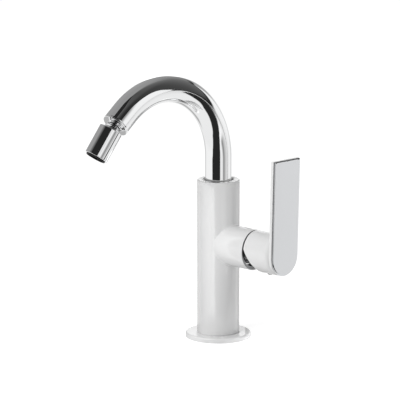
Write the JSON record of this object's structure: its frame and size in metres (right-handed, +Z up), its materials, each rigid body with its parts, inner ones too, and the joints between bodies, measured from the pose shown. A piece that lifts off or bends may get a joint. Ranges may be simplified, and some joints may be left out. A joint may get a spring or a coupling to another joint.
{
  "type": "bidet mixer",
  "caption": "Deck-standing single-lever bidet mixer: round column on a flange, side branch with an upright paddle lever, bent swivel spout and a jet on a ball joint.",
  "frame": {"origin": "centre of the underside of the base flange, on the deck", "axes": "+Z up, the spout points along -Y at rest, the side branch and the lever along +X"},
  "size_m": [0.1059, 0.1666, 0.2247],
  "materials": {
    "white_lacquer": "satin white lacquer",
    "bright_chrome": "polished",
    "face_chrome": "polished",
    "brass": "machined",
    "steel": "plain",
    "black_plastic": "matt",
    "white_plastic": "matt",
    "cartridge_plastic": "moulded",
    "rotor_plastic": "moulded",
    "disc_ceramic": "lapped",
    "rubber": "matt"
  },
  "bodies": {
    "mixer": {"base_flange": "white_lacquer", "base_seal": "rubber", "mixer_body": "white_lacquer", "spout_lock_screw": "steel", "upper_glide_ring": "white_plastic", "lower_glide_ring": "white_plastic", "cartridge_base": "cartridge_plastic", "cartridge_seals": "rubber", "cartridge_housing": "cartridge_plastic", "fixed_ceramic_disc": "disc_ceramic", "cartridge_nut": "brass", "cartridge_cover": "bright_chrome"},
    "spout": {"spout_tube": "bright_chrome", "spout_spigot": "brass", "spigot_o_rings": "rubber", "spout_end_collar": "bright_chrome", "ball_stem": "bright_chrome"},
    "liner": {"ball_liner": "white_plastic"},
    "seat": {"ball_seat": "white_plastic"},
    "nozzle": {"nozzle_sleeve": "bright_chrome", "jet_washer": "rubber", "aerator_housing": "black_plastic", "aerator_diffuser": "black_plastic", "aerator_screens": "black_plastic"},
    "rotor": {"cartridge_rotor": "rotor_plastic", "pivot_pin": "steel"},
    "disc_carriage": {"disc_carrier": "rotor_plastic", "moving_ceramic_disc": "disc_ceramic"},
    "lever": {"lever_stem": "brass", "lever_handle": "white_lacquer", "lever_face_plate": "face_chrome", "lever_grub_screw": "steel", "screw_plug": "black_plastic"}
  },
  "joints": [
    {"name": "spout_swivel", "type": "hinge", "parent": "mixer", "child": "spout", "pos_m": [0, 0, 0.111], "axis": [0, 0, 1], "range_deg": [-60, 60]},
    {"name": "jet_tilt", "type": "hinge", "parent": "spout", "child": "liner", "pos_m": [0, -0.11984, 0.18577], "axis": [1, 0, 0], "range_deg": [-24.5, 11.5]},
    {"name": "jet_side_tilt", "type": "hinge", "parent": "liner", "child": "seat", "pos_m": [0, -0.11984, 0.18577], "axis": [0, 0.8353, -0.5498], "range_deg": [-19, 5]},
    {"name": "jet_spin", "type": "hinge", "parent": "seat", "child": "nozzle", "pos_m": [0, -0.11984, 0.18577], "axis": [-0.1219, -0.5457, -0.8291], "continuous": true},
    {"name": "lever_turn", "type": "hinge", "parent": "mixer", "child": "rotor", "pos_m": [0.036, 0, 0.0793], "axis": [1, 0, 0], "range_deg": [-45, 45]},
    {"name": "lever_tilt", "type": "hinge", "parent": "rotor", "child": "lever", "pos_m": [0.036, 0, 0.0793], "axis": [0, 1, 0], "range_deg": [0, 20]},
    {"name": "disc_slide", "type": "slide", "parent": "rotor", "child": "disc_carriage", "axis": [0, 0, 1], "range_m": [0, 0.0025]}
  ],
  "couplings": [
    {"joint": "disc_slide", "follows": "lever_tilt", "m_per_rad": 0.0071037}
  ]
}
